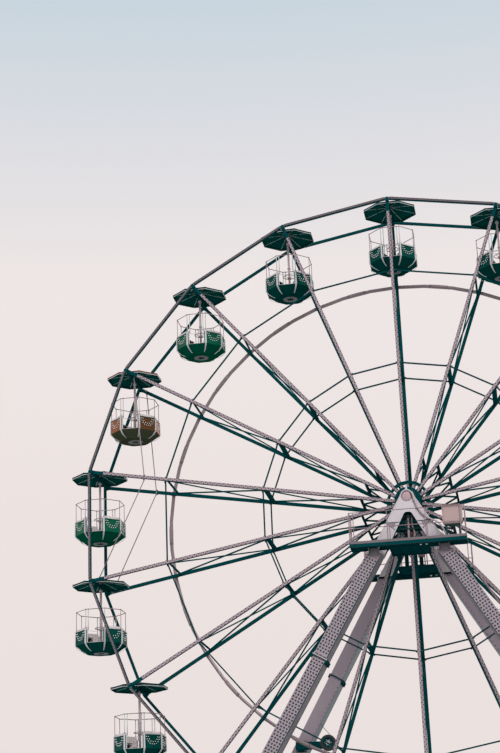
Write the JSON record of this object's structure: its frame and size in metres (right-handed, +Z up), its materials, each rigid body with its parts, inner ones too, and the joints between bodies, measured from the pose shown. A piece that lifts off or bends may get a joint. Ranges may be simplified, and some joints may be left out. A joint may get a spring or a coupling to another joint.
{
  "type": "ferris wheel",
  "caption": "Open-frame ferris wheel on four raked legs: double spoked rim, round open cabins with octagonal canopies, service galleries at the hub, boarding decks and base beams.",
  "frame": {"origin": "on the ground under the middle of the hub", "axes": "+Z up, +Y along the wheel's axle from front to back, +X to the right seen from the front"},
  "size_m": [25.4062, 7.102, 28.39],
  "materials": {
    "frame_steel": "satin dark teal green paint",
    "ring_steel": "worn pale paint, bare where the tyre runs",
    "cabin_green": "gloss dark green paint with white trim",
    "cabin_orange": "gloss amber paint with white trim",
    "pale_panel": "satin pale lilac grey paint",
    "leg_steel": "satin grey paint",
    "deck_steel": "painted chequer plate and rails",
    "tyre": "dull black rubber",
    "cable": "dark rubber sheath with a pale band"
  },
  "bodies": {
    "base": {"head_front": "pale_panel", "head_back": "pale_panel", "leg_front_left": "leg_steel", "leg_front_right": "leg_steel", "leg_back_left": "leg_steel", "leg_back_right": "leg_steel", "gallery_front": "deck_steel", "gallery_back": "deck_steel", "boarding_deck_front": "deck_steel", "boarding_deck_back": "deck_steel", "control_cabinet": "pale_panel", "base_frame": "leg_steel", "ladder": "leg_steel", "drive_unit": "frame_steel", "service_cable": "cable"},
    "wheel": {"spoke_00": "frame_steel", "spoke_01": "frame_steel", "spoke_02": "frame_steel", "spoke_03": "frame_steel", "spoke_04": "frame_steel", "spoke_05": "frame_steel", "spoke_06": "frame_steel", "spoke_07": "frame_steel", "spoke_08": "frame_steel", "spoke_09": "frame_steel", "spoke_10": "frame_steel", "spoke_11": "frame_steel", "spoke_12": "frame_steel", "spoke_13": "frame_steel", "spoke_14": "frame_steel", "spoke_15": "frame_steel", "spoke_16": "frame_steel", "spoke_17": "frame_steel", "front_rim": "frame_steel", "back_rim": "frame_steel", "front_outer_tie": "frame_steel", "front_inner_tie": "frame_steel", "back_inner_tie": "frame_steel", "drive_ring": "ring_steel", "hub": "frame_steel"},
    "cabin_00": {"cabin_00": "cabin_green"},
    "cabin_01": {"cabin_01": "cabin_green"},
    "cabin_02": {"cabin_02": "cabin_green"},
    "cabin_03": {"cabin_03": "cabin_orange"},
    "cabin_04": {"cabin_04": "cabin_green"},
    "cabin_05": {"cabin_05": "cabin_green"},
    "cabin_06": {"cabin_06": "cabin_green"},
    "cabin_07": {"cabin_07": "cabin_green"},
    "cabin_08": {"cabin_08": "cabin_green"},
    "cabin_09": {"cabin_09": "cabin_green"},
    "cabin_10": {"cabin_10": "cabin_green"},
    "cabin_11": {"cabin_11": "cabin_green"},
    "cabin_12": {"cabin_12": "cabin_green"},
    "cabin_13": {"cabin_13": "cabin_green"},
    "cabin_14": {"cabin_14": "cabin_green"},
    "cabin_15": {"cabin_15": "cabin_green"},
    "cabin_16": {"cabin_16": "cabin_green"},
    "cabin_17": {"cabin_17": "cabin_green"},
    "drive_tyre": {"drive_tyre": "tyre"}
  },
  "joints": [
    {"name": "wheel_spin", "type": "hinge", "parent": "base", "child": "wheel", "pos_m": [0, 0, 16.2], "axis": [0, 1, 0], "continuous": true},
    {"name": "cabin_00_hang", "type": "hinge", "parent": "wheel", "child": "cabin_00", "pos_m": [0, 0, 28.1], "axis": [0, 1, 0], "continuous": true},
    {"name": "cabin_01_hang", "type": "hinge", "parent": "wheel", "child": "cabin_01", "pos_m": [-4.07, 0, 27.3823], "axis": [0, 1, 0], "continuous": true},
    {"name": "cabin_02_hang", "type": "hinge", "parent": "wheel", "child": "cabin_02", "pos_m": [-7.6492, 0, 25.3159], "axis": [0, 1, 0], "continuous": true},
    {"name": "cabin_03_hang", "type": "hinge", "parent": "wheel", "child": "cabin_03", "pos_m": [-10.3057, 0, 22.15], "axis": [0, 1, 0], "continuous": true},
    {"name": "cabin_04_hang", "type": "hinge", "parent": "wheel", "child": "cabin_04", "pos_m": [-11.7192, 0, 18.2664], "axis": [0, 1, 0], "continuous": true},
    {"name": "cabin_05_hang", "type": "hinge", "parent": "wheel", "child": "cabin_05", "pos_m": [-11.7192, 0, 14.1336], "axis": [0, 1, 0], "continuous": true},
    {"name": "cabin_06_hang", "type": "hinge", "parent": "wheel", "child": "cabin_06", "pos_m": [-10.3057, 0, 10.25], "axis": [0, 1, 0], "continuous": true},
    {"name": "cabin_07_hang", "type": "hinge", "parent": "wheel", "child": "cabin_07", "pos_m": [-7.6492, 0, 7.0841], "axis": [0, 1, 0], "continuous": true},
    {"name": "cabin_08_hang", "type": "hinge", "parent": "wheel", "child": "cabin_08", "pos_m": [-4.07, 0, 5.0177], "axis": [0, 1, 0], "continuous": true},
    {"name": "cabin_09_hang", "type": "hinge", "parent": "wheel", "child": "cabin_09", "pos_m": [0, 0, 4.3], "axis": [0, 1, 0], "continuous": true},
    {"name": "cabin_10_hang", "type": "hinge", "parent": "wheel", "child": "cabin_10", "pos_m": [4.07, 0, 5.0177], "axis": [0, 1, 0], "continuous": true},
    {"name": "cabin_11_hang", "type": "hinge", "parent": "wheel", "child": "cabin_11", "pos_m": [7.6492, 0, 7.0841], "axis": [0, 1, 0], "continuous": true},
    {"name": "cabin_12_hang", "type": "hinge", "parent": "wheel", "child": "cabin_12", "pos_m": [10.3057, 0, 10.25], "axis": [0, 1, 0], "continuous": true},
    {"name": "cabin_13_hang", "type": "hinge", "parent": "wheel", "child": "cabin_13", "pos_m": [11.7192, 0, 14.1336], "axis": [0, 1, 0], "continuous": true},
    {"name": "cabin_14_hang", "type": "hinge", "parent": "wheel", "child": "cabin_14", "pos_m": [11.7192, 0, 18.2664], "axis": [0, 1, 0], "continuous": true},
    {"name": "cabin_15_hang", "type": "hinge", "parent": "wheel", "child": "cabin_15", "pos_m": [10.3057, 0, 22.15], "axis": [0, 1, 0], "continuous": true},
    {"name": "cabin_16_hang", "type": "hinge", "parent": "wheel", "child": "cabin_16", "pos_m": [7.6492, 0, 25.3159], "axis": [0, 1, 0], "continuous": true},
    {"name": "cabin_17_hang", "type": "hinge", "parent": "wheel", "child": "cabin_17", "pos_m": [4.07, 0, 27.3823], "axis": [0, 1, 0], "continuous": true},
    {"name": "drive_tyre_spin", "type": "hinge", "parent": "base", "child": "drive_tyre", "pos_m": [-3.6401, 1.235, 8.1003], "axis": [0, 1, 0], "continuous": true}
  ],
  "couplings": [
    {"joint": "cabin_00_hang", "follows": "wheel_spin", "ratio": -1},
    {"joint": "cabin_01_hang", "follows": "wheel_spin", "ratio": -1},
    {"joint": "cabin_02_hang", "follows": "wheel_spin", "ratio": -1},
    {"joint": "cabin_03_hang", "follows": "wheel_spin", "ratio": -1},
    {"joint": "cabin_04_hang", "follows": "wheel_spin", "ratio": -1},
    {"joint": "cabin_05_hang", "follows": "wheel_spin", "ratio": -1},
    {"joint": "cabin_06_hang", "follows": "wheel_spin", "ratio": -1},
    {"joint": "cabin_07_hang", "follows": "wheel_spin", "ratio": -1},
    {"joint": "cabin_08_hang", "follows": "wheel_spin", "ratio": -1},
    {"joint": "cabin_09_hang", "follows": "wheel_spin", "ratio": -1},
    {"joint": "cabin_10_hang", "follows": "wheel_spin", "ratio": -1},
    {"joint": "cabin_11_hang", "follows": "wheel_spin", "ratio": -1},
    {"joint": "cabin_12_hang", "follows": "wheel_spin", "ratio": -1},
    {"joint": "cabin_13_hang", "follows": "wheel_spin", "ratio": -1},
    {"joint": "cabin_14_hang", "follows": "wheel_spin", "ratio": -1},
    {"joint": "cabin_15_hang", "follows": "wheel_spin", "ratio": -1},
    {"joint": "cabin_16_hang", "follows": "wheel_spin", "ratio": -1},
    {"joint": "cabin_17_hang", "follows": "wheel_spin", "ratio": -1},
    {"joint": "drive_tyre_spin", "follows": "wheel_spin", "ratio": 31.694}
  ]
}
